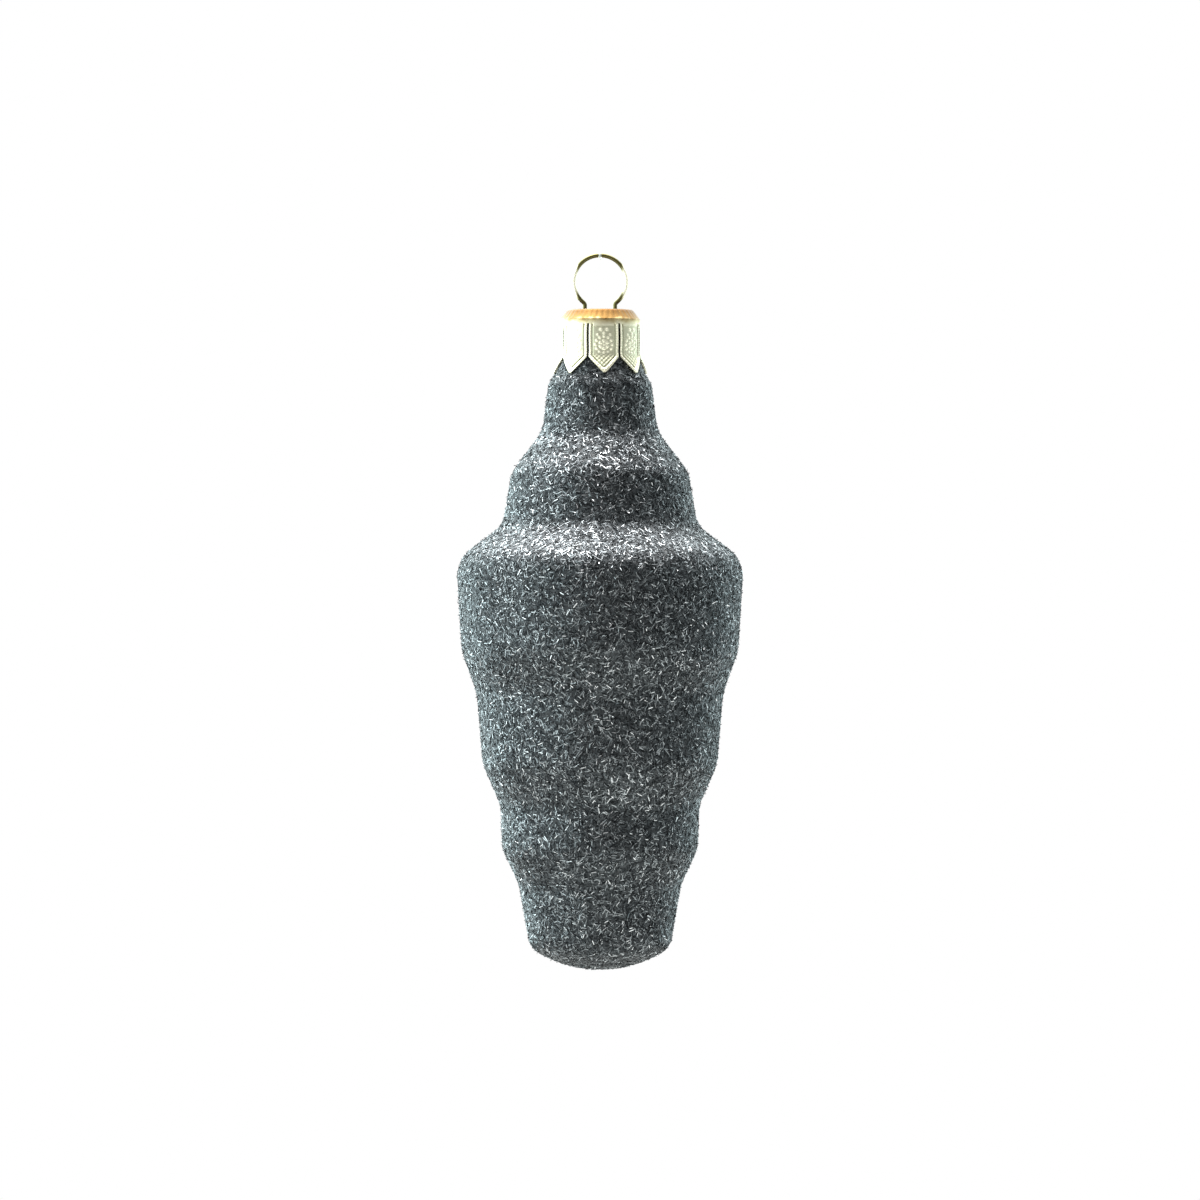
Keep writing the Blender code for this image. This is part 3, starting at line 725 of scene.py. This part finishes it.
# ---------------------------------------------------------------------------------------------
# Glitter coat: the glass is brushed with dark adhesive lacquer, then rolled in short cut fibres
# of metallised film, which stick flat in every direction and overlap like felt.
# ---------------------------------------------------------------------------------------------
LACQUER_IN = 0.10 * MM           # lacquer's face under the coat's outline
LACQUER_T = 0.25 * MM
LACQUER_STEP = 0.5 * MM
LACQUER_CREASE = math.radians(60)
LUMP_H = 0.12 * MM
FIBRES = 156000
FIBRE_GROUPS = 8
FIBRE_L = (0.38 * MM, 0.88 * MM)
FIBRE_W = (0.07 * MM, 0.11 * MM)
FIBRE_T = 0.04 * MM
FIBRE_LIFT = (-0.10 * MM, 0.03 * MM)
FIBRE_PITCH = math.radians(5)
FIBRE_ROLL = math.radians(8)
LOOSE_SHARE = 0.24               # of the fibres stand off at a steeper tilt
LOOSE_TILT = 3.8
UNDER_CAP_Z = cap_top_z - PETAL_TIP_END
PRESSED_SHARE = 0.3              # of their tilt and lift is left to the fibres under the cap
CAP_SHADOW_FROM = UNDER_CAP_Z + 1.5 * MM
CAP_SHADOW_TO = UNDER_CAP_Z - 3.0 * MM
CAP_SHADOW_KEEP = 0.35                   # share of its brightness that the coat keeps in the painted shadow of the cap
TONE_CELLS = 16                  # along each side of the fibres' UV map
CELL_R = 0.3                     # of a cell is taken up to each side by a fibre
SEAT_STEP = PROFILE_STEP / 4

# Adhesive lacquer: charcoal, satin and lumpy from the film bits pressed into it, in lumps of
# about 0.4 mm
lacquer, tree, shader = material("charcoal_adhesive_lacquer")
place = node(tree, "ShaderNodeTexCoord").outputs["Object"]
lumps = node(tree, "ShaderNodeTexNoise", {"Vector": place, "Scale": 2400.0, "Detail": 3.0})
tone = ramp(tree, lumps.outputs["Fac"], [(0.35, "#15181a"), (0.65, "#3a4043")])
tree.links.new(tone, shader.inputs["Base Color"])
shader.inputs["Roughness"].default_value = 0.45
lumpy = node(tree, "ShaderNodeBump", {"Strength": 0.6, "Distance": LUMP_H,
                                      "Height": lumps.outputs["Fac"]})
tree.links.new(lumpy.outputs[0], shader.inputs["Normal"])

coat_line = evenly(body_outline, LACQUER_STEP)
lacquer_out = moved_in(coat_line, LACQUER_IN)
lacquer_in = moved_in(coat_line, LACQUER_IN + LACQUER_T)[::-1]
turned(np.vstack([lacquer_out, lacquer_in]), TURNED_SEGMENTS)
coat = end_piece("lacquer_coat", lacquer)
bpy.ops.object.shade_smooth_by_angle(angle=LACQUER_CREASE)
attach(coat, "body")
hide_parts("glitter_coat")

# Metallised film fibre: thin rods with a hard bright face, most of them gunmetal and some silver,
# so single rods flash against a dark felt. Each rod is one tone, from its own cell of the UV map,
# and the coat is darkened towards the cap, a painted shadow of the cap's petals.
film, tree, shader = material("metallised_film_fibre")
sheet_uv = node(tree, "ShaderNodeUVMap", uv_map="OFBake").outputs[0]
scaled = node(tree, "ShaderNodeVectorMath", {0: sheet_uv, 1: (TONE_CELLS,) * 3},
              operation="MULTIPLY")
cell = node(tree, "ShaderNodeVectorMath", {0: scaled.outputs[0]}, operation="FLOOR")
chance = node(tree, "ShaderNodeTexWhiteNoise", {"Vector": cell.outputs[0]}, noise_dimensions="2D")
tone = ramp(tree, chance.outputs["Value"], [(0.0, "#131415"), (0.30, "#2b2e30"), (0.55, "#494c4e"),
                                            (0.81, "#777b7d"), (0.94, "#b0b5b7"),
                                            (1.0, "#f2f3f4")])
place = node(tree, "ShaderNodeTexCoord").outputs["Object"]
level = node(tree, "ShaderNodeSeparateXYZ", {0: place}).outputs["Z"]
# Painted shadow: the fibres darken from below the petals' tips up to the cap
unshadowed_share = node(tree, "ShaderNodeMapRange", {0: level, 1: CAP_SHADOW_FROM, 2: CAP_SHADOW_TO, 3: CAP_SHADOW_KEEP,
                                          4: 1.0}, interpolation_type="SMOOTHSTEP")
cap_shadowed = node(tree, "ShaderNodeVectorMath", {0: tone, "Scale": unshadowed_share.outputs[0]},
               operation="SCALE")
tree.links.new(cap_shadowed.outputs[0], shader.inputs["Base Color"])
shader.inputs["Metallic"].default_value = 1.0
shader.inputs["Roughness"].default_value = 0.3

start_piece()
bpy.ops.mesh.primitive_cylinder_add(vertices=3, radius=1, depth=1, end_fill_type="NGON",
                                    rotation=(0, math.radians(90), 0))
fibre = end_piece("fibre_pattern")
rod = np.array([vertex.co for vertex in fibre.data.vertices])
rod_faces = np.array([vertex for face in fibre.data.polygons for vertex in face.vertices])
face_sizes = np.array([len(face.vertices) for face in fibre.data.polygons])
bpy.ops.object.delete()
# The three-sided rod is laid along X with its flat face up at zero height and its ridge under it
rod = rod[:, (0, 2, 1)] * (1, 1 / math.sqrt(3), -2 / 3) - (0, 0, 1 / 3)

# Each fibre's seat on the outline, its bearing round the axis, how it lies, its size and its tone
line = evenly(body_outline, SEAT_STEP)
run = np.diff(line, axis=0)
area = (line[1:, 0] + line[:-1, 0]) * np.linalg.norm(run, axis=1)
stretch = np.sort(RANDOM.choice(len(area), FIBRES, p=area / area.sum()))
seat = line[stretch] + run[stretch] * RANDOM.random((FIBRES, 1))
slope = run[stretch] / np.linalg.norm(run[stretch], axis=1)[:, None]
bearing = RANDOM.random(FIBRES) * math.tau
heading = RANDOM.random(FIBRES) * math.tau
calm = np.where(seat[:, 1] > UNDER_CAP_Z, PRESSED_SHARE, 1.0)
loose = np.where(RANDOM.random(FIBRES) < LOOSE_SHARE, LOOSE_TILT, 1.0) * calm
pitch = RANDOM.normal(0, FIBRE_PITCH, FIBRES) * loose
roll = RANDOM.normal(0, FIBRE_ROLL, FIBRES) * loose
lift = RANDOM.uniform(*FIBRE_LIFT, FIBRES) * calm
sizes = np.stack([RANDOM.uniform(*FIBRE_L, FIBRES), RANDOM.uniform(*FIBRE_W, FIBRES),
                  np.full(FIBRES, FIBRE_T)], 1)
cells = RANDOM.integers(0, TONE_CELLS, (FIBRES, 2))


def turned_by(first, second, angle):
    """Two square directions turned in their own plane."""
    sine = np.sin(angle)[:, None]
    cosine = np.cos(angle)[:, None]
    return cosine * first + sine * second, cosine * second - sine * first


nothing = np.zeros(FIBRES)
out = np.stack([np.cos(bearing), np.sin(bearing), nothing], 1)
round_axis = np.stack([-np.sin(bearing), np.cos(bearing), nothing], 1)
up = np.array([0, 0, 1])
uphill = slope[:, :1] * out + slope[:, 1:] * up
normal = slope[:, 1:] * out - slope[:, :1] * up
long_way, wide_way = turned_by(uphill, -round_axis, heading)
long_way, pitched = turned_by(long_way, normal, pitch)
wide_way, thick_way = turned_by(wide_way, pitched, roll)
centre = out * seat[:, :1] + up * seat[:, 1:] + normal * lift[:, None]
frames = np.stack([long_way, wide_way, thick_way], 1) * sizes[:, :, None]
points = centre[:, None, :] + np.einsum("va,fab->fvb", rod, frames)
spokes = np.arange(len(rod)) * math.tau / len(rod)
swatch = 0.5 + CELL_R * np.stack([np.cos(spokes), np.sin(spokes)], 1)

for group, members in enumerate(np.array_split(np.arange(FIBRES), FIBRE_GROUPS), start=1):
    mesh = bpy.data.meshes.new(f"glitter_fibres_{group}")
    mesh.vertices.add(len(members) * len(rod))
    mesh.vertices.foreach_set("co", points[members].ravel())
    corners = (np.arange(len(members))[:, None] * len(rod) + rod_faces).ravel()
    mesh.loops.add(len(corners))
    mesh.loops.foreach_set("vertex_index", corners)
    face_ends = np.cumsum(np.tile(face_sizes, len(members)))
    mesh.polygons.add(len(face_ends))
    mesh.polygons.foreach_set("loop_start", face_ends - np.tile(face_sizes, len(members)))
    sheet = mesh.uv_layers.new(name="OFBake")
    in_cells = (cells[members][:, None, :] + swatch[rod_faces]) / TONE_CELLS
    sheet.uv.foreach_set("vector", in_cells.ravel())
    mesh.update(calc_edges=True)
    mesh.shade_flat()
    mesh.materials.append(film)
    fibres = bpy.data.objects.new(mesh.name, mesh)
    bpy.context.collection.objects.link(fibres)
    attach(fibres, "body")
